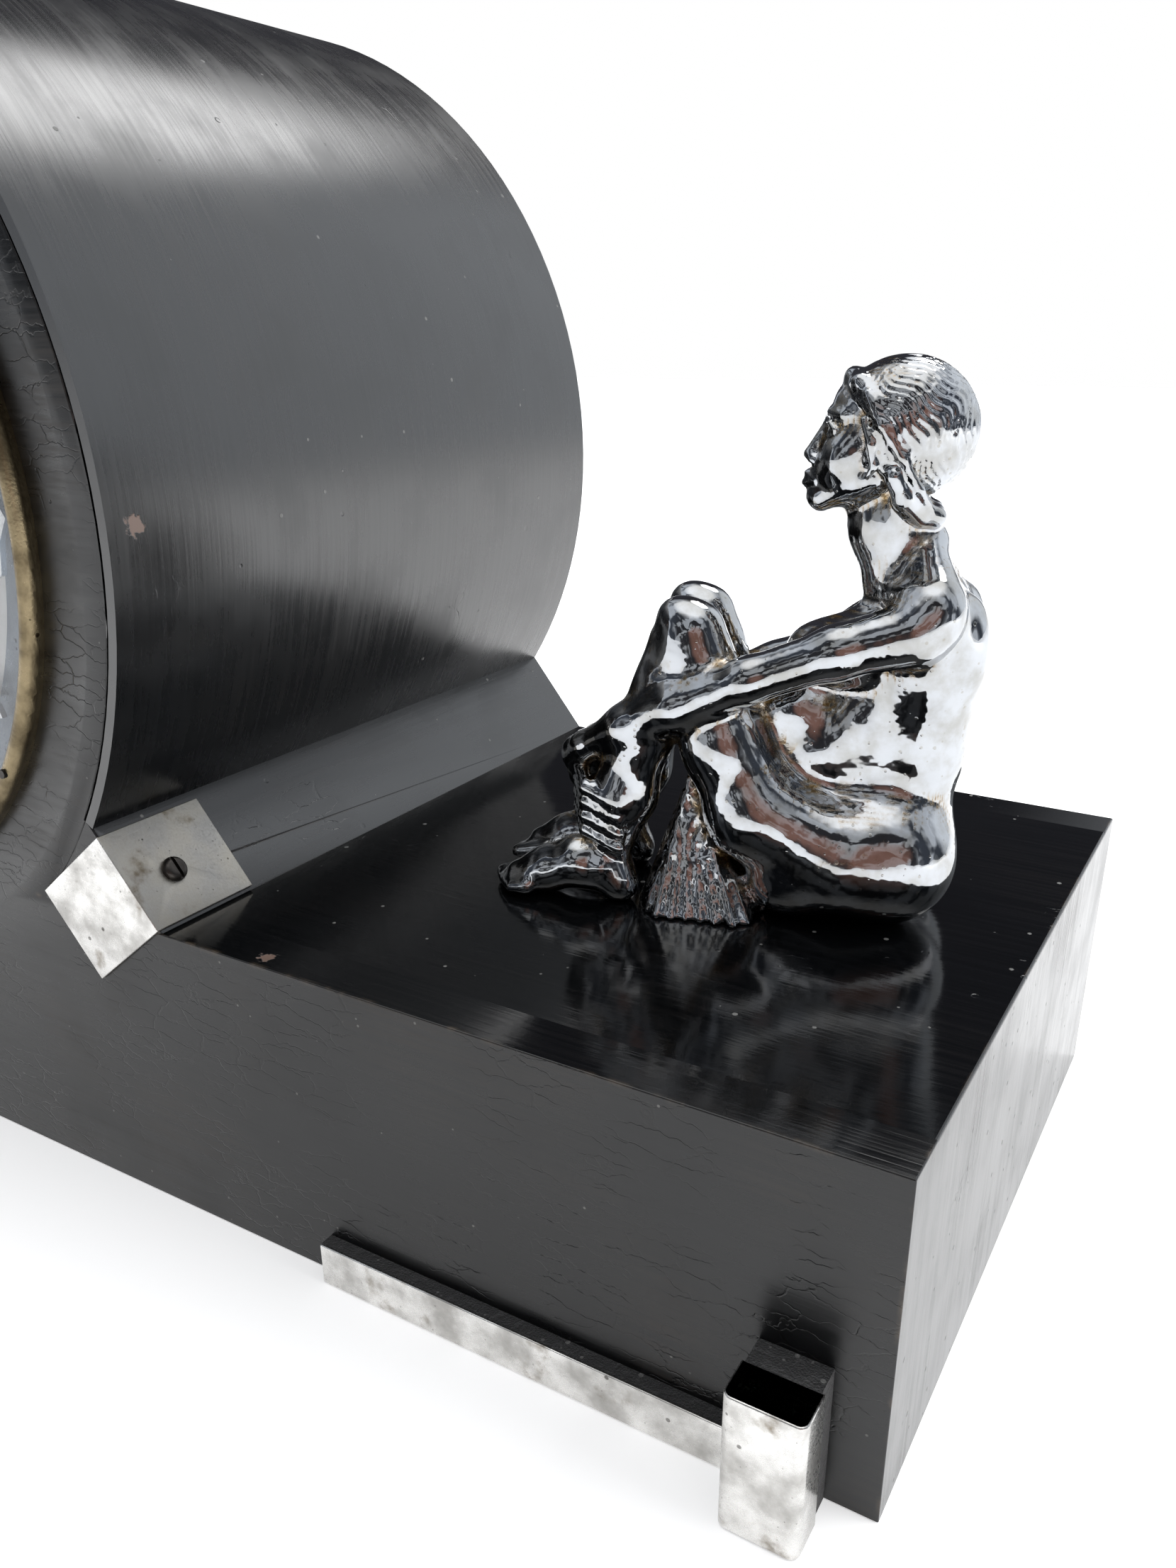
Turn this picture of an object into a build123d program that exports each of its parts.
from build123d import *
import math
import os

# A mantel clock in ebonised wood: a drum-shaped case on a wide plinth, with a wedge on each side
# of the drum, plated strips, feet and brackets, and a seated figure at each end. A spring-driven
# striking movement with a short pendulum stands inside, behind a dial of 142 mm sight.
# Millimetres. The origin is the middle of the plinth's underside; +X is the clock's right as the
# reader faces it, +Y runs from the front to the back and +Z is up.

os.makedirs("parts", exist_ok=True)

# ---- driving dimensions: the case ----
case_depth = 150.0
plinth_width = 487.0
plinth_height = 63.0
drum_radius = 102.5
drum_rise = 74.0             # drum axis above the plinth's top
board = 10.0                 # front, back and end boards
lid_board = 9.0              # the plinth's top boards
base_board_thickness = 8.0
skin = 2.0                   # bent ply round the drum
reveal = 0.5                 # width and depth scale of the line between skin and face
wedge_foot = 100.6           # where the wedge meets the plinth's top, from the centre
wedge_angle = -33.0          # where it meets the drum, in degrees above horizontal
dial_opening = 79.5          # radii of the openings in the front and back boards
door_opening = 64.0
door_rebate = 70.0
door_rebate_depth = 4.0
cove_inner = 83.3            # the dished face round the bezel
cove_outer = 95.0
cove_depth = 1.0

# ---- driving dimensions: trim ----
foot_width = 13.2
foot_reach = 12.6
foot_height = 26.0
foot_outer_edge = 235.4
foil = 0.6                   # plated sheet on the feet and strips
foot_wrap = 7.6              # how far the sheet runs back along a foot's sides
strip_inner_edge = 136.2
strip_height = 8.7
strip_reach = 3.3
bracket_sheet = 0.8
bracket_width = 20.8
bracket_leg = 23.3
bracket_setback = 0.6
screw_head_radius = 2.5
screw_head_height = 1.5
screw_shank_radius = 1.4
screw_shank_length = 8.0
screw_from_front = 9.6
screw_up_slope = 10.0

# ---- driving dimensions: dial and movement, as depths behind the clock's front face ----
front_y = -case_depth / 2
back_y = case_depth / 2
axis_height = plinth_height + drum_rise
bezel_outer = 83.0
bezel_inner = 79.5
bezel_crest = 2.4
sight_radius = 70.0
dial_y = front_y + 4.0
dial_thickness = 1.0
glass_rise = 9.0
glass_thickness = 1.5
bearing_gap = 0.05
front_plate_y = front_y + 11.5
plate_thickness = 2.0
plate_gap = 38.0
plate_radius = 46.0
plate_outer = plate_radius + 4    # the plates themselves, with room for the pillars
back_plate_y = front_plate_y + plate_thickness + plate_gap
pivot_radius = 0.8
minute_angle = 60.0          # the hands stand at ten past ten
hour_angle = 305.0
pendulum_length = 116.0

dial_axis = Axis((0, 0, axis_height), (0, 1, 0))


def facing(depth, x=0.0, height=0.0):
    """A plane facing the clock's front at this depth: +X right, +Y up, and it extrudes forward."""
    return Plane(origin=(x, depth, height), x_dir=(1, 0, 0), z_dir=(0, -1, 0))


def turning(x=0.0, height=axis_height):
    """A level plane through a front-to-back axis, to draw half-sections that are revolved."""
    return Plane(origin=(x, 0, height), x_dir=(1, 0, 0), z_dir=(0, 0, 1))


def clock_hand_plane(depth, angle):
    """A plane facing the front whose own +Y points to this angle, clockwise from twelve."""
    a = math.radians(angle)
    return Plane(origin=(0, depth, axis_height), x_dir=(math.cos(a), 0, -math.sin(a)), z_dir=(0, -1, 0))


def save(piece, label):
    piece.part.label = label
    export_step(piece.part, f"parts/{label}.step")


def save_pair(piece, label):
    """Writes the right-hand piece and its mirror image on the left."""
    save(piece, f"{label}_right")
    other = mirror(piece.part, about=Plane.YZ)
    other.label = f"{label}_left"
    export_step(other, f"parts/{label}_left.step")


def save_group(piece, label):
    """Writes the right-hand piece and its mirror image as one node of two solids."""
    both = Compound(children=[piece.part, mirror(piece.part, about=Plane.YZ)], label=label)
    export_step(both, f"parts/{label}.step")


def on_circle(radius, angle):
    return (radius * math.cos(math.radians(angle)), radius * math.sin(math.radians(angle)))


# ---- the case ----
wedge_head = on_circle(drum_radius, wedge_angle)
wedge_head_inner = on_circle(drum_radius - skin, wedge_angle)
drum_foot = math.sqrt((drum_radius - skin) ** 2 - drum_rise ** 2)
far = 3 * drum_radius


def drum_sector(outer, inner):
    """The drum's skin as a ring, open below the wedges. Drawn about the drum's axis."""
    Circle(outer)
    Circle(inner, mode=Mode.SUBTRACT)
    with BuildLine(mode=Mode.PRIVATE) as gap:
        right, left = on_circle(far, wedge_angle), on_circle(far, 180 - wedge_angle)
        Polyline((0, 0), right, (0, -far), left, close=True)
    make_face(gap.edges(), mode=Mode.SUBTRACT)


def case_outline():
    """The outline of the front and back boards: plinth and drum. Drawn about the drum's axis."""
    with Locations((0, plinth_height / 2 - axis_height)):
        Rectangle(plinth_width, plinth_height)
    Circle(drum_radius - skin)


with BuildPart() as front_panel:
    with BuildSketch(facing(front_y + board, height=axis_height)):
        case_outline()
        Circle(dial_opening, mode=Mode.SUBTRACT)
    extrude(amount=board)
    # the dark line where the skin meets the face
    with BuildSketch(facing(front_y + 2 * reveal, height=axis_height)):
        drum_sector(drum_radius - skin, drum_radius - skin - reveal)
    extrude(amount=2 * reveal, mode=Mode.SUBTRACT)
    # the face dips gently towards the bezel
    with BuildSketch(turning()):
        with BuildLine():
            seat = Line((dial_opening - 1, front_y - 1), (dial_opening - 1, front_y + cove_depth))
            floor = Line(seat @ 1, (cove_inner, front_y + cove_depth))
            dish = TangentArc(floor @ 1, (cove_outer, front_y), tangent=(1, 0))
            rim = Line(dish @ 1, (cove_outer, front_y - 1))
            Line(rim @ 1, seat @ 0)
        make_face()
    revolve(axis=dial_axis, mode=Mode.SUBTRACT)

with BuildPart() as back_board:
    with BuildSketch(facing(back_y, height=axis_height)):
        case_outline()
        Circle(door_opening, mode=Mode.SUBTRACT)
    extrude(amount=board)
    with BuildSketch(facing(back_y, height=axis_height)):
        Circle(door_rebate)
    extrude(amount=door_rebate_depth, mode=Mode.SUBTRACT)
save(back_board, "back_board")

inner_depth = case_depth - 2 * board
end_inner = plinth_width / 2 - board
with BuildPart() as base_board:
    with Locations((0, 0, base_board_thickness / 2)):
        Box(2 * end_inner, inner_depth, base_board_thickness)
save(base_board, "base_board")

with BuildPart() as end_board:
    with Locations((plinth_width / 2 - board / 2, 0, plinth_height / 2)):
        Box(board, inner_depth, plinth_height)
save_group(end_board, "end_boards")

figure_x = 212.0             # where the figure's fixing stud passes through the top board
figure_y = 6.0
stud_radius = 2.0
with BuildPart() as top_board:
    with Locations(((drum_foot + end_inner) / 2, 0, plinth_height - lid_board / 2)):
        Box(end_inner - drum_foot, inner_depth, lid_board)
    with Locations((figure_x, figure_y, plinth_height)):
        Hole(stud_radius)
save_group(top_board, "top_boards")

slope_plane = Plane(
    origin=(wedge_foot, 0, plinth_height),
    x_dir=(wedge_head[0] - wedge_foot, 0, wedge_head[1] + drum_rise),
    z_dir=(wedge_head[1] + drum_rise, 0, wedge_foot - wedge_head[0]),
)
screw_seat = Plane(
    origin=slope_plane.from_local_coords((screw_up_slope, case_depth / 2 - screw_from_front, bracket_sheet)),
    x_dir=slope_plane.x_dir,
    z_dir=slope_plane.z_dir,
)
plinth_angle = -math.degrees(math.asin(drum_rise / (drum_radius - skin)))
with BuildPart() as wedge:
    with BuildSketch(facing(back_y, height=axis_height)):
        with BuildLine():
            sole = Line((drum_foot, -drum_rise), (wedge_foot, -drum_rise))
            slope = Line(sole @ 1, wedge_head)
            Line(slope @ 1, wedge_head_inner)
            CenterArc((0, 0), drum_radius - skin, plinth_angle, wedge_angle - plinth_angle)
        make_face()
    extrude(amount=case_depth)
    with Locations(screw_seat.location):
        Hole(screw_shank_radius, depth=screw_shank_length)
save_group(wedge, "wedges")

with BuildPart() as drum_shell:
    with BuildSketch(facing(back_y, height=axis_height)):
        drum_sector(drum_radius, drum_radius - skin)
    extrude(amount=case_depth)
save(drum_shell, "drum_shell")

# ---- feet, strips and brackets ----
foot_centre = foot_outer_edge - foot_width / 2
with BuildPart() as foot_block:
    with BuildSketch():
        with Locations((foot_centre, front_y - (foot_reach - foil) / 2)):
            Rectangle(foot_width - 2 * foil, foot_reach - foil)
    extrude(amount=foot_height)
    front_edges = foot_block.edges().filter_by(Axis.Z).group_by(Axis.Y)[0]
    fillet(front_edges, 1.0)
save_group(foot_block, "foot_blocks")

with BuildPart() as foot_cap:
    with BuildSketch():
        with Locations((foot_centre, front_y - foot_reach / 2)):
            Rectangle(foot_width, foot_reach)
    extrude(amount=foot_height)
    fillet(foot_cap.edges().filter_by(Axis.Z).group_by(Axis.Y)[0], 1.0 + foil)
    add(foot_block.part, mode=Mode.SUBTRACT)
    with Locations((foot_centre, front_y - (foot_reach - foot_wrap) / 2, foot_height / 2)):
        Box(2 * foot_width, foot_reach - foot_wrap, 2 * foot_height, mode=Mode.SUBTRACT)
save_pair(foot_cap, "foot_cap")

strip_outer_edge = foot_outer_edge - foot_width
strip_length = strip_outer_edge - strip_inner_edge
strip_centre = (strip_outer_edge + strip_inner_edge) / 2
with BuildPart() as strip_bar:
    with Locations((strip_centre, front_y - (strip_reach - foil) / 2, strip_height / 2)):
        Box(strip_length, strip_reach - foil, strip_height)
save_group(strip_bar, "strip_bars")

with BuildPart() as strip_face:
    with Locations((strip_centre, front_y - strip_reach + foil / 2, strip_height / 2)):
        Box(strip_length, foil, strip_height)
save_pair(strip_face, "strip_face")

with BuildPart() as bracket:
    with BuildSketch(slope_plane):
        with Locations((bracket_setback + bracket_width / 2, case_depth / 2 - bracket_leg / 2)):
            Rectangle(bracket_width, bracket_leg)
    extrude(amount=bracket_sheet)
    fold_plane = Plane(
        origin=slope_plane.from_local_coords((0, case_depth / 2, bracket_sheet)),
        x_dir=slope_plane.x_dir,
        z_dir=(0, -1, 0),
    )
    with BuildSketch(fold_plane):
        with Locations((bracket_setback + bracket_width / 2, (bracket_leg + bracket_sheet) / 2)):
            Rectangle(bracket_width, bracket_leg + bracket_sheet)
    extrude(amount=bracket_sheet)
    with Locations(screw_seat.location):
        Hole(screw_shank_radius, depth=2 * bracket_sheet)
save_pair(bracket, "bracket")

with BuildPart() as bracket_screw:
    with BuildSketch(screw_seat):
        Circle(screw_head_radius)
    extrude(amount=screw_head_height)
    slope_up = Axis(origin=(0, 0, 0), direction=slope_plane.z_dir)
    fillet(bracket_screw.faces().sort_by(slope_up)[-1].edges(), screw_head_height - 0.3)
    with BuildSketch(screw_seat):
        Circle(screw_shank_radius)
    extrude(amount=-screw_shank_length)
    with Locations(screw_seat.offset(screw_head_height).location):
        Box(3 * screw_head_radius, 0.7, 1.4, mode=Mode.SUBTRACT)

# ---- the seated figures: a plain closed shape, knees drawn up and hands clasped round the shins ----
figure_turn = 198.0          # the way the right-hand figure looks, in degrees from +X
figure_height = 100.0


def figure_point(forward, near, up):
    """A point of the right-hand figure, measured from where it sits."""
    a = math.radians(figure_turn)
    x = figure_x + forward * math.cos(a) - near * math.sin(a)
    y = figure_y + forward * math.sin(a) + near * math.cos(a)
    return Vector(x, y, plinth_height + up)


def limb(start, end, start_radius, end_radius):
    """A tapered limb with a round joint at each end."""
    along = end - start
    with Locations(Plane(origin=start, z_dir=along).location):
        Cone(start_radius, end_radius, along.length, align=(Align.CENTER, Align.CENTER, Align.MIN))
    for place, radius in ((start, start_radius), (end, end_radius)):
        with Locations(place):
            Sphere(1.04 * radius)


with BuildPart() as figure:
    limb(figure_point(0, 0, 18), figure_point(-5, 0, 50), 16, 13)
    limb(figure_point(3, 0, 62), figure_point(7, 0, 80), 6, 5)
    with Locations(figure_point(9, 0, figure_height - 13)):
        Sphere(13)
    for side in (-1, 1):
        limb(figure_point(8, 8 * side, 12), figure_point(37, 7 * side, 49), 9.5, 6.5)
        limb(figure_point(38, 7 * side, 48), figure_point(50, 7 * side, 8), 6, 3.6)
        limb(figure_point(50, 7 * side, 5), figure_point(74, 5 * side, 3), 4.2, 2.6)
        limb(figure_point(0, 14 * side, 56), figure_point(22, 16 * side, 38), 5, 4)
        limb(figure_point(22, 16 * side, 38), figure_point(49, 3 * side, 27), 4, 3.2)
    forward = figure_point(1, 0, 0) - figure_point(0, 0, 0)
    with Locations(Plane(origin=figure_point(28, 0, 11), x_dir=forward)):
        Box(38, 22, 22)
    with Locations((figure_x, figure_y, plinth_height)):
        Box(200, 200, 40, align=(Align.CENTER, Align.CENTER, Align.MAX), mode=Mode.SUBTRACT)
    with Locations((figure_x, figure_y, plinth_height)):
        CounterBoreHole(stud_radius, stud_radius, 12, depth=12)
save_pair(figure, "figure")

nut_radius = 4.5
with BuildPart() as figure_stud:
    with Locations((figure_x, figure_y, plinth_height + 12)):
        Cylinder(stud_radius, lid_board + 18, align=(Align.CENTER, Align.CENTER, Align.MAX))
    with BuildSketch(Plane.XY.offset(plinth_height - lid_board)):
        with Locations((figure_x, figure_y)):
            RegularPolygon(nut_radius, 6)
    extrude(amount=-4)
save_group(figure_stud, "figure_studs")

# ---- bezel, glass and their hinge on the left ----
seat_y = front_y + cove_depth
hinge_x = -86.0
hinge_y = front_y - 0.9
hinge_pin_radius = 0.6
knuckle_radius = 1.3
leaf_half = 9.0
knuckle_half = 3.0
knuckle_gap = 0.2
lug_length = 4.0
leaf_thickness = 1.4
leaf_edge = -94.0
glass_edge = bezel_inner + 0.8
glass_seat_y = seat_y - 1.5
stud_angle = -36.0
catch_radius = 0.9
catch_length = 7.2
catch_hole_radius = 1.6
catch_hole_depth = 5.0
lug_screw_circle = 87.0
lug_angles = (45, 135, 225, 315)
lug_screw_depth = 5.5

with BuildPart() as bezel:
    with BuildSketch(turning()):
        with BuildLine():
            back = Line((glass_edge, seat_y), (bezel_outer, seat_y))
            side = Line(back @ 1, (bezel_outer, front_y - 0.2))
            crest_middle = ((bezel_outer + bezel_inner) / 2, front_y - bezel_crest)
            crest = ThreePointArc(side @ 1, crest_middle, (bezel_inner, glass_seat_y - 0.9))
            Polyline(crest @ 1, (bezel_inner, glass_seat_y - 0.25), (glass_edge, glass_seat_y), back @ 0)
        make_face()
    revolve(axis=dial_axis)
    with Locations((hinge_x + lug_length / 2, hinge_y - 0.1, axis_height)):
        Box(lug_length, 1.6, 2 * knuckle_half)
    with Locations((hinge_x, hinge_y, axis_height)):
        Cylinder(knuckle_radius, 2 * knuckle_half)
        Cylinder(hinge_pin_radius + bearing_gap, 3 * knuckle_half, mode=Mode.SUBTRACT)
    stud_place = on_circle(crest_middle[0], stud_angle)
    with BuildSketch(facing(seat_y + 1, height=axis_height)):
        with Locations(stud_place):
            Circle(catch_radius)
    extrude(amount=6, mode=Mode.SUBTRACT)
save(bezel, "bezel")

with BuildPart() as bezel_stud:
    with BuildSketch(facing(front_y - bezel_crest - 0.5 + catch_length, height=axis_height)):
        with Locations(stud_place):
            Circle(catch_radius)
    extrude(amount=catch_length)
save(bezel_stud, "bezel_stud")

glass_arc_radius = (glass_edge ** 2 + glass_rise ** 2) / (2 * glass_rise)
with BuildPart() as bezel_glass:
    with BuildSketch(turning()):
        with BuildLine():
            outer = RadiusArc((glass_edge, glass_seat_y), (0, glass_seat_y - glass_rise), glass_arc_radius)
            middle = Line(outer @ 1, (outer @ 1) + Vector(0, glass_thickness))
            inner = RadiusArc(
                middle @ 1, (glass_edge, glass_seat_y + glass_thickness), -glass_arc_radius
            )
            Line(inner @ 1, outer @ 0)
        make_face()
    revolve(axis=dial_axis)
save(bezel_glass, "bezel_glass")

# the fixed leaf is let into the face, with a knuckle above and below the bezel's own
leaf_back = seat_y + 0.4
with BuildPart() as leaf_recess:
    with Locations(((leaf_edge + hinge_x + 3) / 2, leaf_back, axis_height)):
        Box(hinge_x + 3 - leaf_edge, 4, 2 * leaf_half + 0.2, align=(Align.CENTER, Align.MAX, Align.CENTER))
with BuildPart() as front_board:
    add(front_panel.part)
    add(leaf_recess.part, mode=Mode.SUBTRACT)
    with BuildSketch(facing(front_y + board, height=axis_height)):
        with Locations(*[on_circle(lug_screw_circle, angle) for angle in lug_angles]):
            Circle(screw_shank_radius)
    extrude(amount=lug_screw_depth, mode=Mode.SUBTRACT)
    with BuildSketch(facing(seat_y + catch_hole_depth, height=axis_height)):
        with Locations(stud_place):
            Circle(catch_hole_radius)
    extrude(amount=2 * catch_hole_depth, mode=Mode.SUBTRACT)
save(front_board, "front_board")

with BuildPart() as bezel_hinge_leaf:
    with Locations(((leaf_edge + hinge_x) / 2, leaf_back, axis_height)):
        Box(hinge_x - leaf_edge, leaf_thickness, 2 * leaf_half, align=(Align.CENTER, Align.MAX, Align.CENTER))
    with Locations((hinge_x, hinge_y, axis_height)):
        Cylinder(knuckle_radius, 2 * leaf_half)
    with Locations((hinge_x, hinge_y, axis_height)):
        Box(4.4, 8, 2 * (knuckle_half + knuckle_gap), mode=Mode.SUBTRACT)
        Cylinder(hinge_pin_radius, 4 * leaf_half, mode=Mode.SUBTRACT)
save(bezel_hinge_leaf, "bezel_hinge_leaf")

# ---- dial ----
hand_pipe_hole = 3.4
winding_hole = 3.2
post_radius = 1.6
post_circle = 44.0
post_angles = (20, 110, 200, 290)
marker_front = dial_y - 3.3
marker_thickness = 1.1

with BuildPart() as sight_ring:
    with BuildSketch(turning()):
        with BuildLine():
            Polyline(
                (sight_radius, dial_y),
                (dial_opening - 0.1, dial_y),
                (dial_opening - 0.1, seat_y + 0.2),
                (dial_opening - 0.5, seat_y + 0.2),
                (sight_radius, dial_y - 0.3),
                close=True,
            )
        make_face()
    revolve(axis=dial_axis)
save(sight_ring, "sight_ring")


def train_point(start, distance, angle):
    step = on_circle(distance, angle)
    return (start[0] + step[0], start[1] + step[1])


def mesh_distance(teeth, leaves, module):
    return (teeth + leaves) * module / 2


# Tooth counts and modules. The train runs barrel, intermediate, centre, third and escape.
barrel_teeth, barrel_module = 80, 0.5
intermediate_leaves, intermediate_teeth, intermediate_module = 10, 72, 0.4
centre_leaves, centre_teeth, centre_module = 12, 84, 0.36
third_leaves, third_teeth, third_module = 7, 78, 0.34
escape_leaves, escape_teeth, escape_radius = 7, 36, 8.0
cannon_leaves, minute_teeth, minute_module = 12, 36, 0.5
minute_leaves, hour_teeth, hour_module = 10, 40, 0.48
pin_leaves, pin_teeth, pin_module = 10, 56, 0.4
fly_leaves = 8

# Where each arbor stands on the plates, from the dial's centre.
centre_at = (0.0, 0.0)
intermediate_direction = 23.8
going_direction = -67.4
third_direction = 123.3
minute_direction = 55.0
pin_direction = 100.0
fly_direction = 80.0
intermediate_at = train_point(
    centre_at, mesh_distance(intermediate_teeth, centre_leaves, intermediate_module), intermediate_direction
)
barrel_reach = mesh_distance(barrel_teeth, intermediate_leaves, barrel_module)
going_at = train_point(intermediate_at, barrel_reach, going_direction)
strike_at = (-going_at[0], going_at[1])
third_at = train_point(centre_at, mesh_distance(centre_teeth, third_leaves, centre_module), third_direction)
escape_reach = mesh_distance(third_teeth, escape_leaves, third_module)
escape_direction = math.degrees(math.acos(-third_at[0] / escape_reach))
escape_at = train_point(third_at, escape_reach, escape_direction)
anchor_at = (0.0, escape_at[1] + escape_radius * math.sqrt(2))
minute_distance = mesh_distance(minute_teeth, cannon_leaves, minute_module)
minute_at = train_point(centre_at, minute_distance, minute_direction)
pin_at = train_point(strike_at, mesh_distance(barrel_teeth, pin_leaves, barrel_module), pin_direction)
fly_at = train_point(pin_at, mesh_distance(pin_teeth, fly_leaves, pin_module), fly_direction)
hammer_at = (-12.0, -38.0)

with BuildPart() as dial_plate:
    with BuildSketch(facing(dial_y + dial_thickness, height=axis_height)):
        Circle(dial_opening - 0.2)
        Circle(hand_pipe_hole, mode=Mode.SUBTRACT)
        with Locations(going_at, strike_at):
            Circle(winding_hole, mode=Mode.SUBTRACT)
    extrude(amount=dial_thickness)
    with BuildSketch(facing(front_plate_y, height=axis_height)):
        with Locations(*[on_circle(post_circle, angle) for angle in post_angles]):
            Circle(post_radius)
    extrude(amount=front_plate_y - dial_y - dial_thickness)
save(dial_plate, "dial_plate")

# raised hour markers: pointed leaves at the quarters, batons between, each on two pegs
leaf_marker = [(76.5, 0), (73.8, 4.2), (72.6, 10.2), (70.4, 11.0), (60.5, 0)]
baton_marker = [(75.0, 0), (73.0, 1.6), (61.5, 1.0)]
peg_radius = 0.7
with BuildPart() as hour_markers:
    for hour in range(12):
        outline = leaf_marker if hour % 3 == 0 else baton_marker
        mirrored = [(x, -y) for x, y in reversed(outline) if y > 0]
        with BuildSketch(facing(marker_front + marker_thickness, height=axis_height)):
            with BuildLine(Plane.XY.rotated((0, 0, 30 * hour))):
                Polyline(*outline, *mirrored, close=True)
            make_face()
        extrude(amount=marker_thickness)
        with BuildSketch(facing(dial_y, height=axis_height)):
            with Locations(on_circle(64, 30 * hour), on_circle(68, 30 * hour)):
                Circle(peg_radius)
        extrude(amount=dial_y - marker_front - marker_thickness)
save(hour_markers, "hour_markers")

# ---- hands ----
hour_pipe_outer = 3.0
hour_pipe_inner = 2.1
cannon_outer = 2.0
arbor_radius = 1.2
hour_hand_y = dial_y - 3.6
minute_hand_y = dial_y - 5.2
hand_thickness = 0.7


def hand_outline(length, tail, widest, boss):
    """A hand as a long lozenge with a round boss, pointing along its plane's +Y."""
    half = [(0, length), (widest, 0.62 * length), (1.2, 0), (0.9, -tail)]
    Polygon(*half, *[(-x, y) for x, y in reversed(half) if x > 0], align=None)
    Circle(boss)


with BuildPart() as hour_hand:
    with BuildSketch(clock_hand_plane(hour_hand_y, hour_angle)):
        hand_outline(42, 8, 3.6, 4.6)
        Circle(hour_pipe_outer, mode=Mode.SUBTRACT)
    extrude(amount=hand_thickness)
save(hour_hand, "hour_hand")

with BuildPart() as minute_hand:
    with BuildSketch(clock_hand_plane(minute_hand_y, minute_angle)):
        hand_outline(60, 11, 2.8, 3.8)
        Circle(cannon_outer, mode=Mode.SUBTRACT)
    extrude(amount=hand_thickness)
save(minute_hand, "minute_hand")

with BuildPart() as hand_nut:
    with BuildSketch(facing(minute_hand_y - hand_thickness, height=axis_height)):
        Circle(2.7)
    extrude(amount=1.4)
    fillet(hand_nut.faces().sort_by(Axis.Y)[0].edges(), 0.9)
save(hand_nut, "hand_nut")


# ---- toothed wheels ----
def tooth_corners(teeth, root, tip, root_share, tip_share, phase):
    """The corners of a toothed rim, four a tooth. Shares are of the pitch; phase is a tooth's angle."""
    corners = []
    for tooth in range(teeth):
        middle = phase + 360 * tooth / teeth
        half_root = 180 / teeth * root_share
        half_tip = 180 / teeth * tip_share
        corners.append(on_circle(root, middle - half_root))
        corners.append(on_circle(tip, middle - half_tip))
        corners.append(on_circle(tip, middle + half_tip))
        corners.append(on_circle(root, middle + half_root))
    return corners


def wheel_face(teeth, module, phase):
    """A wheel's toothed outline, with the backlash that clock wheels have."""
    pitch = teeth * module / 2
    Polygon(*tooth_corners(teeth, pitch - 1.3 * module, pitch + 0.7 * module, 0.5, 0.18, phase), align=None)


def pinion_face(leaves, module, phase):
    pitch = leaves * module / 2
    Polygon(*tooth_corners(leaves, pitch - 1.35 * module, pitch + 0.6 * module, 0.42, 0.2, phase), align=None)


def meshed_phase(driver_at, driver_teeth, driver_phase, at, teeth):
    """The phase that puts this wheel's gap on the driver's tooth along their line of centres."""
    line = math.degrees(math.atan2(at[1] - driver_at[1], at[0] - driver_at[0]))
    offset = (line - driver_phase) / (360 / driver_teeth)
    return line + 180 - (0.5 - offset) * 360 / teeth


def shaft(at, front, back, radius):
    """A round shaft between two depths."""
    with BuildSketch(facing(back, height=axis_height)) as section:
        with Locations(at):
            Circle(radius)
    extrude(section.sketch, amount=back - front)


def toothed(at, front, thickness, face, teeth, module, phase):
    """Adds a wheel or a pinion whose front side stands at this depth."""
    with BuildSketch(facing(front + thickness, x=at[0], height=axis_height + at[1])) as section:
        face(teeth, module, phase)
    extrude(section.sketch, amount=thickness)


def crossings(at, front, thickness, inner, outer, spokes):
    """Cuts the windows between a wheel's spokes."""
    with BuildSketch(facing(front + thickness, x=at[0], height=axis_height + at[1])) as windows:
        Circle(outer)
        Circle(inner, mode=Mode.SUBTRACT)
        with PolarLocations(0, spokes):
            Rectangle(outer, 1.6, align=(Align.MIN, Align.CENTER), mode=Mode.SUBTRACT)
    extrude(windows.sketch, amount=thickness, mode=Mode.SUBTRACT)


between_front = front_plate_y + plate_thickness
shaft_radius = 1.0
end_shake = 0.15


def arbor(at):
    """A wheel's shaft: full between the plates and turned down to a pivot in each."""
    shaft(at, between_front + end_shake, back_plate_y - end_shake, shaft_radius)
    shaft(at, front_plate_y + 0.2, back_plate_y + plate_thickness - 0.2, pivot_radius)


# ---- motion work, between the dial and the front plate ----
cannon_phase = 0.0
minute_phase = meshed_phase(centre_at, cannon_leaves, cannon_phase, minute_at, minute_teeth)
hour_phase = meshed_phase(minute_at, minute_leaves, minute_phase, centre_at, hour_teeth)
cannon_front = front_plate_y - 3.5
cannon_face = 2.6
minute_wheel_front = front_plate_y - 2.9
wheel_thickness = 1.0
minute_leaves_face = 3.1
hour_wheel_front = front_plate_y - 5.4
minute_stud_radius = 1.0

with BuildPart() as cannon_pinion:
    shaft(centre_at, minute_hand_y - hand_thickness, cannon_front, cannon_outer)
    toothed(centre_at, cannon_front, cannon_face, pinion_face, cannon_leaves, minute_module, cannon_phase)
    with Locations(Location((0, front_y, axis_height), (90, 0, 0))):
        Cylinder(arbor_radius + bearing_gap, case_depth, mode=Mode.SUBTRACT)
save(cannon_pinion, "cannon_pinion")

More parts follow.
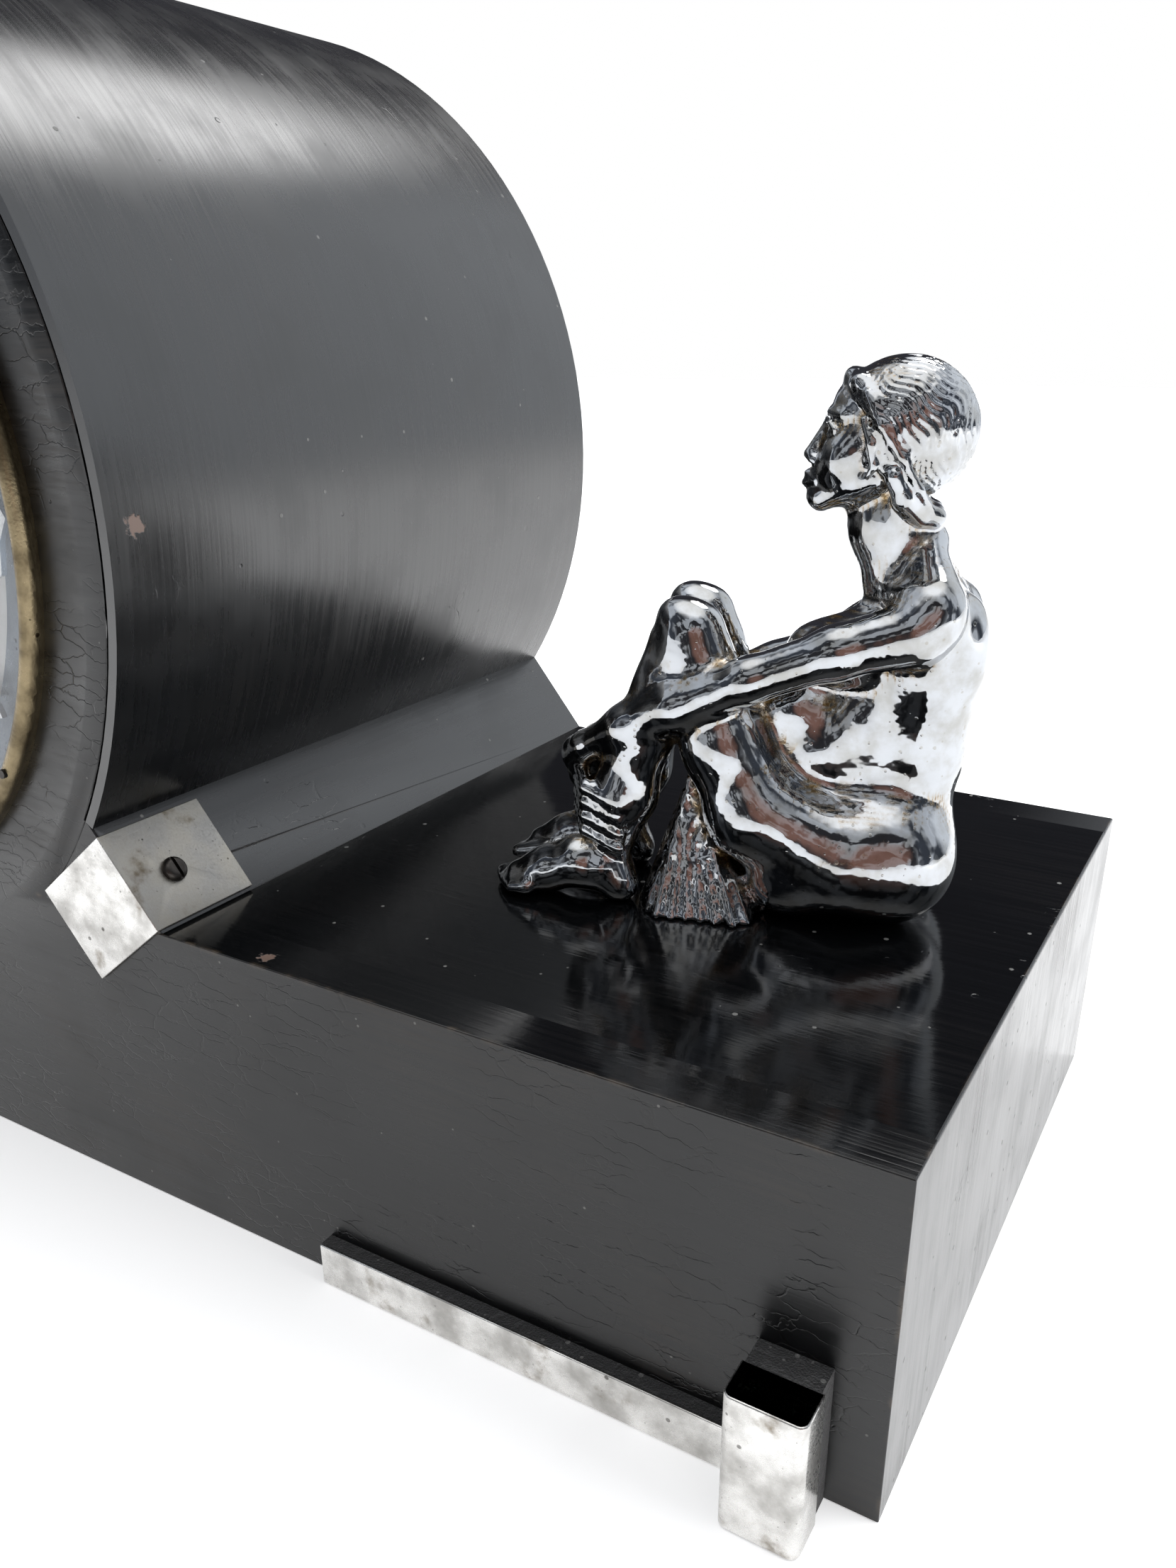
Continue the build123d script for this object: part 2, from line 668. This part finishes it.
with BuildPart() as minute_wheel:
    toothed(
        minute_at, minute_wheel_front, wheel_thickness, wheel_face, minute_teeth, minute_module, minute_phase
    )
    crossings(minute_at, minute_wheel_front, wheel_thickness, 3.4, 7.2, 4)
    leaves_front = minute_wheel_front - minute_leaves_face
    toothed(
        minute_at, leaves_front, minute_leaves_face, pinion_face, minute_leaves, hour_module, minute_phase
    )
    with BuildSketch(facing(front_plate_y, height=axis_height)):
        with Locations(minute_at):
            Circle(minute_stud_radius + bearing_gap)
    extrude(amount=20, mode=Mode.SUBTRACT)
save(minute_wheel, "minute_wheel")

with BuildPart() as hour_wheel:
    toothed(centre_at, hour_wheel_front, wheel_thickness, wheel_face, hour_teeth, hour_module, hour_phase)
    shaft(centre_at, hour_hand_y - hand_thickness, hour_wheel_front + wheel_thickness, hour_pipe_outer)
    with BuildSketch(facing(front_plate_y, height=axis_height)):
        Circle(hour_pipe_inner)
    extrude(amount=30, mode=Mode.SUBTRACT)
save(hour_wheel, "hour_wheel")

# ---- going train, between the plates; depths are of each wheel's front side ----
intermediate_front = between_front + 3.0
centre_front = between_front + 6.2
barrel_front = between_front + 9.6
barrel_gear = 2.0
drum_length = 22.0
barrel_drum = 17.5
barrel_wall = 1.0
third_front = between_front + 13.8
escape_front = between_front + 21.5
pinion_face_width = 4.6
pin_front = between_front + 3.0

going_phase = 0.0
intermediate_phase = meshed_phase(going_at, barrel_teeth, going_phase, intermediate_at, intermediate_leaves)
centre_phase = meshed_phase(intermediate_at, intermediate_teeth, intermediate_phase, centre_at, centre_leaves)
third_phase = meshed_phase(centre_at, centre_teeth, centre_phase, third_at, third_leaves)
escape_phase = meshed_phase(third_at, third_teeth, third_phase, escape_at, escape_leaves)
pin_phase = meshed_phase(strike_at, barrel_teeth, 0.0, pin_at, pin_leaves)
fly_phase = meshed_phase(pin_at, pin_teeth, pin_phase, fly_at, fly_leaves)

with BuildPart() as intermediate_wheel:
    arbor(intermediate_at)
    toothed(
        intermediate_at, intermediate_front, wheel_thickness,
        wheel_face, intermediate_teeth, intermediate_module, intermediate_phase,
    )
    crossings(intermediate_at, intermediate_front, wheel_thickness, 3.6, 12.2, 5)
    toothed(
        intermediate_at, barrel_front - 1.2, pinion_face_width,
        pinion_face, intermediate_leaves, barrel_module, intermediate_phase,
    )
save(intermediate_wheel, "intermediate_wheel")

with BuildPart() as centre_wheel:
    shaft(centre_at, minute_hand_y + 0.4, between_front + 1, arbor_radius)
    shaft(centre_at, between_front + end_shake, back_plate_y - end_shake, arbor_radius)
    shaft(centre_at, back_plate_y - 1, back_plate_y + plate_thickness - 0.2, pivot_radius)
    toothed(
        centre_at, intermediate_front - 1.0, 3.4,
        pinion_face, centre_leaves, intermediate_module, centre_phase,
    )
    toothed(centre_at, centre_front, wheel_thickness, wheel_face, centre_teeth, centre_module, centre_phase)
    crossings(centre_at, centre_front, wheel_thickness, 3.6, 13.0, 5)
save(centre_wheel, "centre_wheel")

with BuildPart() as third_wheel:
    arbor(third_at)
    toothed(
        third_at, centre_front - 1.4, pinion_face_width, pinion_face, third_leaves, centre_module, third_phase
    )
    toothed(third_at, third_front, wheel_thickness, wheel_face, third_teeth, third_module, third_phase)
    crossings(third_at, third_front, wheel_thickness, 3.4, 11.4, 5)
save(third_wheel, "third_wheel")

with BuildPart() as escape_wheel:
    arbor(escape_at)
    toothed(
        escape_at, third_front - 1.4, pinion_face_width,
        pinion_face, escape_leaves, third_module, escape_phase,
    )
    with BuildSketch(facing(escape_front + 0.8, x=escape_at[0], height=axis_height + escape_at[1])):
        Polygon(*tooth_corners(escape_teeth, escape_radius - 1.3, escape_radius, 0.5, 0.1, 90.0), align=None)
    extrude(amount=0.8)
    crossings(escape_at, escape_front, 0.8, 2.4, 5.4, 4)
save(escape_wheel, "escape_wheel")

# ---- barrels, mainsprings and winding arbors; going on the right, striking on the left ----
spring_turns = 7
spring_strip = 0.45
square_side = 3.4
square_length = 7.0
core_radius = 3.0
ratchet_teeth = 24
ratchet_radius = 6.5
ratchet_front = front_plate_y - 2.4


def coil_points(inner, outer, turns, per_turn=20):
    """Points along a spiral from the inner radius to the outer."""
    count = turns * per_turn
    steps = range(count + 1)
    return [on_circle(inner + (outer - inner) * n / count, 360 * n / per_turn) for n in steps]


for label, at in (("going", going_at), ("strike", strike_at)):
    with BuildPart() as barrel:
        toothed(at, barrel_front, barrel_gear, wheel_face, barrel_teeth, barrel_module, 0.0)
        shaft(at, barrel_front, barrel_front + barrel_gear + drum_length, barrel_drum)
        with BuildSketch(facing(barrel_front + drum_length, x=at[0], height=axis_height + at[1])):
            Circle(barrel_drum - barrel_wall)
        extrude(amount=drum_length - barrel_wall, mode=Mode.SUBTRACT)
        with BuildSketch(facing(back_y, x=at[0], height=axis_height + at[1])):
            Circle(core_radius + bearing_gap)
        extrude(amount=case_depth, mode=Mode.SUBTRACT)
    save(barrel, f"{label}_barrel")

    with BuildPart() as mainspring:
        with BuildSketch(facing(barrel_front + drum_length - 1, x=at[0], height=axis_height + at[1])):
            inner_side = coil_points(core_radius + 0.6, barrel_drum - barrel_wall - 1.0, spring_turns)
            outer_start = core_radius + 0.6 + spring_strip
            outer_side = coil_points(outer_start, barrel_drum - barrel_wall - 0.3, spring_turns)
            Polygon(*inner_side, *reversed(outer_side), align=None)
        extrude(amount=drum_length - barrel_wall - 2.5)
    save(mainspring, f"{label}_mainspring")

    with BuildPart() as winding_arbor:
        shaft(at, between_front + end_shake, back_plate_y - end_shake, core_radius)
        shaft(at, ratchet_front, between_front + 1, core_radius - 0.4)
        shaft(at, back_plate_y - 1, back_plate_y + plate_thickness, core_radius - 0.4)
        with BuildSketch(facing(ratchet_front + 0.5, x=at[0], height=axis_height + at[1])):
            Rectangle(square_side, square_side)
        extrude(amount=square_length)
        with BuildSketch(facing(ratchet_front + 1.4, x=at[0], height=axis_height + at[1])):
            ratchet_corners = tooth_corners(ratchet_teeth, ratchet_radius - 1, ratchet_radius, 0.8, 0.2, 0)
            Polygon(*ratchet_corners, align=None)
        extrude(amount=1.4)
    save(winding_arbor, f"{label}_winding_arbor")

# ---- striking: pin wheel, fly, hammer and gong ----
star_points = 8
star_radius = 5.0
star_front = back_plate_y + plate_thickness + 0.6
fan_half = 7.0
fan_front = between_front + 17.0
fan_length = 16.0
with BuildPart() as pin_wheel:
    arbor(pin_at)
    toothed(pin_at, barrel_front - 1.2, pinion_face_width, pinion_face, pin_leaves, barrel_module, pin_phase)
    toothed(pin_at, pin_front, wheel_thickness, wheel_face, pin_teeth, pin_module, pin_phase)
    crossings(pin_at, pin_front, wheel_thickness, 3.0, 9.2, 4)
    shaft(pin_at, back_plate_y, star_front + 1, pivot_radius)
    with BuildSketch(facing(star_front + 1.2, x=pin_at[0], height=axis_height + pin_at[1])):
        Polygon(*tooth_corners(star_points, star_radius - 2.4, star_radius, 0.9, 0.2, 22.5), align=None)
    extrude(amount=1.2)
save(pin_wheel, "pin_wheel")

with BuildPart() as strike_fly:
    arbor(fly_at)
    toothed(fly_at, pin_front - 1.2, 3.6, pinion_face, fly_leaves, pin_module, fly_phase)
    with Locations((fly_at[0], fan_front + fan_length / 2, axis_height + fly_at[1])):
        Box(2 * fan_half, fan_length, 0.6)
save(strike_fly, "strike_fly")

hammer_front = back_plate_y + plate_thickness + 2.4
hammer_arm = 1.6
hammer_reach = 63.0
hammer_tail_to = (pin_at[0] - star_radius - 3.2, pin_at[1])
hammer_pivot = 1.4
with BuildPart() as hammer:
    with BuildSketch(facing(hammer_front + hammer_arm, x=hammer_at[0], height=axis_height + hammer_at[1])):
        Circle(3.2)
        Rectangle(2.4, hammer_reach, align=(Align.CENTER, Align.MAX))
        tail = (hammer_tail_to[0] - hammer_at[0], hammer_tail_to[1] - hammer_at[1])
        with Locations(Location((0, 0, 0), math.degrees(math.atan2(tail[1], tail[0])))):
            Rectangle(math.hypot(*tail), 2.2, align=(Align.MIN, Align.CENTER))
        Circle(hammer_pivot + bearing_gap, mode=Mode.SUBTRACT)
    extrude(amount=hammer_arm)
    with Locations((hammer_at[0], hammer_front + hammer_arm / 2, axis_height + hammer_at[1] - hammer_reach)):
        Cylinder(4, 14)
    fillet(hammer.faces().sort_by(Axis.Z)[0].edges(), 1)
save(hammer, "hammer")

gong_x = -19.5
gong_rod_radius = 1.5
gong_rod_heights = (31.0, 38.5)
gong_front = -40.0
gong_block_front = 46.0
gong_block_back = 62.0
with BuildPart() as gong_rods:
    for height in gong_rod_heights:
        with BuildSketch(facing(gong_block_front + 8, x=gong_x, height=height)):
            Circle(gong_rod_radius)
        extrude(amount=gong_block_front + 8 - gong_front)
save(gong_rods, "gong_rods")

with BuildPart() as gong_block:
    with Locations((gong_x, (gong_block_front + gong_block_back) / 2, base_board_thickness)):
        Box(18, gong_block_back - gong_block_front, 38, align=(Align.CENTER, Align.CENTER, Align.MIN))
    chamfer(gong_block.faces().sort_by(Axis.Z)[-1].edges(), 2)
    for height in gong_rod_heights:
        with BuildSketch(facing(gong_block_front + 8, x=gong_x, height=height)):
            Circle(gong_rod_radius)
        extrude(amount=20, mode=Mode.SUBTRACT)
save(gong_block, "gong_block")

# ---- escapement and pendulum, all swinging about the anchor's arbor ----
nose_gap = 0.35
crutch_y = back_plate_y + plate_thickness + 2.6
pendulum_y = back_plate_y + plate_thickness + 13.5
crutch_drop = 24.0
fork_radius = 0.5
rod_radius = 1.0
spring_length = 9.0
cock_y = back_plate_y + plate_thickness + 6.5
cock_thickness = 2.0
cock_half = 10.0
nose_radius = escape_radius + nose_gap
nose = (nose_radius / math.sqrt(2), escape_at[1] - anchor_at[1] + nose_radius / math.sqrt(2))
with BuildPart() as anchor:
    shaft(anchor_at, between_front + end_shake, back_plate_y - end_shake, shaft_radius)
    shaft(anchor_at, front_plate_y + 0.2, cock_y + cock_thickness - 0.2, pivot_radius)
    with BuildSketch(facing(escape_front + 1.1, x=anchor_at[0], height=axis_height + anchor_at[1])):
        Circle(2.2)
        half = [(0, 2.0), (8.0, -1.6), (8.2, -4.0), nose, (6.6, -2.6), (0, -1.2)]
        Polygon(*half, *[(-x, y) for x, y in reversed(half) if x > 0], align=None)
    extrude(amount=1.4)
    with BuildSketch(facing(crutch_y + 0.8, x=anchor_at[0], height=axis_height + anchor_at[1])):
        Circle(2.0)
        Rectangle(1.6, crutch_drop, align=(Align.CENTER, Align.MAX))
        with Locations((0, -crutch_drop)):
            Rectangle(5.4, 2.4)
    extrude(amount=0.8)
    with BuildSketch(facing(pendulum_y + 2, x=anchor_at[0], height=axis_height + anchor_at[1])):
        fork_offset = rod_radius + fork_radius + 0.1
        with Locations((fork_offset, -crutch_drop), (-fork_offset, -crutch_drop)):
            Circle(fork_radius)
    extrude(amount=pendulum_y + 2 - crutch_y)
save(anchor, "anchor")

with BuildPart() as back_cock:
    with BuildSketch(facing(cock_y + cock_thickness, height=axis_height + anchor_at[1])):
        Rectangle(2 * cock_half, 9)
    extrude(amount=cock_thickness)
    with BuildSketch(facing(cock_y, height=axis_height + anchor_at[1])):
        with Locations((cock_half - 1.5, 0), (1.5 - cock_half, 0)):
            Rectangle(3, 9)
    extrude(amount=cock_y - back_plate_y - plate_thickness)
    with Locations((0, (cock_y + pendulum_y + 2) / 2, axis_height + anchor_at[1] + 3.4)):
        Box(6, pendulum_y + 2 - cock_y, 2.2)
    with BuildSketch(facing(cock_y + 3, x=anchor_at[0], height=axis_height + anchor_at[1])):
        Circle(pivot_radius + bearing_gap)
    extrude(amount=4, mode=Mode.SUBTRACT)
save(back_cock, "back_cock")

pivot_height = axis_height + anchor_at[1]
bob_radius = 16.0
bob_half = 4.0
with BuildPart() as suspension_spring:
    with Locations((0, pendulum_y, pivot_height + 2.1)):
        Box(0.3, 3.0, spring_length, align=(Align.CENTER, Align.CENTER, Align.MAX))
save(suspension_spring, "suspension_spring")

with BuildPart() as pendulum_rod:
    with Locations((0, pendulum_y, pivot_height + 2.1 - spring_length)):
        Cylinder(rod_radius, pendulum_length - 9.0, align=(Align.CENTER, Align.CENTER, Align.MAX))
    with Locations((0, pendulum_y, pivot_height - pendulum_length - bob_radius - 1.6)):
        Cylinder(rod_radius, 7.0)
        Cylinder(2.6, 2.4)
save(pendulum_rod, "pendulum_rod")

bob_height = pivot_height - pendulum_length
with BuildPart() as pendulum_bob:
    with BuildSketch(turning(height=bob_height)):
        with BuildLine():
            crown = (0, pendulum_y - bob_half)
            shoulder = (0.7 * bob_radius, pendulum_y - 2.4)
            face = ThreePointArc(crown, shoulder, (bob_radius, pendulum_y - 0.6))
            edge = Line(face @ 1, (bob_radius, pendulum_y + 0.6))
            back = ThreePointArc(edge @ 1, (0.7 * bob_radius, pendulum_y + 2.4), (0, pendulum_y + bob_half))
            Line(back @ 1, face @ 0)
        make_face()
    revolve(axis=Axis((0, 0, bob_height), (0, 1, 0)))
    with Locations((0, pendulum_y, bob_height)):
        Cylinder(rod_radius, 4 * bob_radius, mode=Mode.SUBTRACT)
save(pendulum_bob, "pendulum_bob")

# ---- movement plates, pillars and mounting ----
pillar_circle = 45.0
pillar_radius = 2.4
pillar_angles = (50, 128, 172, 5, 270)
wheel_arbors = (intermediate_at, third_at, escape_at, pin_at, fly_at)
barrel_arbors = (going_at, strike_at)


def plate_holes(centre_hole, anchor_hole):
    Circle(centre_hole, mode=Mode.SUBTRACT)
    with Locations(anchor_at):
        Circle(anchor_hole, mode=Mode.SUBTRACT)
    with Locations(*wheel_arbors):
        Circle(pivot_radius + bearing_gap, mode=Mode.SUBTRACT)
    with Locations(*barrel_arbors):
        Circle(core_radius - 0.4 + bearing_gap, mode=Mode.SUBTRACT)


with BuildPart() as movement_front_plate:
    with BuildSketch(facing(front_plate_y + plate_thickness, height=axis_height)):
        Circle(plate_outer)
        plate_holes(arbor_radius + bearing_gap, pivot_radius + bearing_gap)
    extrude(amount=plate_thickness)
    shaft(minute_at, minute_wheel_front - minute_leaves_face - 0.4, front_plate_y + 0.5, minute_stud_radius)
save(movement_front_plate, "movement_front_plate")

with BuildPart() as movement_back_plate:
    with BuildSketch(facing(back_plate_y + plate_thickness, height=axis_height)):
        Circle(plate_outer)
        plate_holes(pivot_radius + bearing_gap, pivot_radius + bearing_gap)
    extrude(amount=plate_thickness)
    shaft(hammer_at, back_plate_y + 1, hammer_front + hammer_arm + 0.6, hammer_pivot)
    shaft(hammer_at, back_plate_y + 1, hammer_front - 0.3, hammer_pivot + 1.4)
save(movement_back_plate, "movement_back_plate")

with BuildPart() as movement_pillars:
    with BuildSketch(facing(back_plate_y, height=axis_height)):
        with Locations(*[on_circle(pillar_circle, angle) for angle in pillar_angles]):
            Circle(pillar_radius)
    extrude(amount=plate_gap)
save(movement_pillars, "movement_pillars")

lug_inner = 40.0
lug_outer = 93.0
lug_width = 10.0
lug_thickness = 1.5
with BuildPart() as mounting_lugs:
    for angle in lug_angles:
        with BuildSketch(facing(front_plate_y, height=axis_height)):
            with Locations(Location((0, 0, 0), angle)):
                with Locations(((lug_inner + lug_outer) / 2, 0)):
                    Rectangle(lug_outer - lug_inner, lug_width)
            with Locations(on_circle(lug_screw_circle, angle)):
                Circle(screw_shank_radius, mode=Mode.SUBTRACT)
        extrude(amount=lug_thickness)
save(mounting_lugs, "mounting_lugs")

with BuildPart() as lug_screws:
    with BuildSketch(facing(front_plate_y, height=axis_height)):
        with Locations(*[on_circle(lug_screw_circle, angle) for angle in lug_angles]):
            Circle(screw_shank_radius)
    extrude(amount=lug_thickness + lug_screw_depth)
    with BuildSketch(facing(front_plate_y + 1.6, height=axis_height)):
        with Locations(*[on_circle(lug_screw_circle, angle) for angle in lug_angles]):
            Circle(screw_head_radius)
    extrude(amount=1.6)

wood_screws = Compound(
    children=[bracket_screw.part, mirror(bracket_screw.part, about=Plane.YZ), lug_screws.part],
    label="wood_screws",
)
export_step(wood_screws, "parts/wood_screws.step")

# ---- the round back door ----
door_y = back_y - door_rebate_depth
door_thickness = 1.5
door_hinge_x = -72.0
door_hinge_y = back_y + knuckle_radius
door_leaf_half = 12.0
door_knuckle_half = 5.0
latch_x = 58.0
latch_shaft = 1.5
latch_knob = 4.0
with BuildPart() as rear_door:
    with BuildSketch(facing(door_y + door_thickness, height=axis_height)):
        Circle(door_rebate - 0.4)
        with Locations((latch_x, 0)):
            Circle(latch_shaft + bearing_gap, mode=Mode.SUBTRACT)
    extrude(amount=door_thickness)
    with Locations((door_hinge_x + 8, door_y + door_thickness, axis_height)):
        leaf_depth = door_hinge_y + 0.5 - door_y - door_thickness
        Box(4, leaf_depth, 2 * door_knuckle_half, align=(Align.CENTER, Align.MIN, Align.CENTER))
    with Locations((door_hinge_x + 5, door_hinge_y - 0.1, axis_height)):
        Box(10, 1.6, 2 * door_knuckle_half)
    with Locations((door_hinge_x, door_hinge_y, axis_height)):
        Cylinder(knuckle_radius, 2 * door_knuckle_half)
        Cylinder(hinge_pin_radius + bearing_gap, 40, mode=Mode.SUBTRACT)
save(rear_door, "rear_door")

with BuildPart() as rear_hinge_leaf:
    with Locations((door_hinge_x - 5.5, back_y, axis_height)):
        Box(9, 1.0, 2 * door_leaf_half, align=(Align.CENTER, Align.MIN, Align.CENTER))
    with Locations((door_hinge_x, door_hinge_y, axis_height)):
        Cylinder(knuckle_radius, 2 * door_leaf_half)
    with Locations((door_hinge_x - 1, door_hinge_y, axis_height)):
        Box(2, 1.0, 2 * door_leaf_half)
    with Locations((door_hinge_x, door_hinge_y, axis_height)):
        Box(4.4, 8, 2 * (door_knuckle_half + knuckle_gap), mode=Mode.SUBTRACT)
        Cylinder(hinge_pin_radius, 40, mode=Mode.SUBTRACT)
save(rear_hinge_leaf, "rear_hinge_leaf")

with BuildPart() as hinge_pins:
    with Locations((hinge_x, hinge_y, axis_height)):
        Cylinder(hinge_pin_radius, 2 * leaf_half + 1)
    with Locations((door_hinge_x, door_hinge_y, axis_height)):
        Cylinder(hinge_pin_radius, 2 * door_leaf_half + 1)
save(hinge_pins, "hinge_pins")

finger_back = back_y - board - 0.2
with BuildPart() as door_latch:
    with BuildSketch(facing(back_y + 3.5, x=latch_x, height=axis_height)):
        Circle(latch_shaft)
    extrude(amount=back_y + 3.5 - finger_back + 1.4)
    with BuildSketch(facing(back_y + 3.5, x=latch_x, height=axis_height)):
        Circle(latch_knob)
    extrude(amount=4.6)
    fillet(door_latch.faces().sort_by(Axis.Y)[-1].edges(), 1)
    with BuildSketch(facing(finger_back, x=latch_x, height=axis_height)):
        Circle(2.6)
        Rectangle(3, 11, align=(Align.CENTER, Align.MAX))
    extrude(amount=1.4)
save(door_latch, "door_latch")
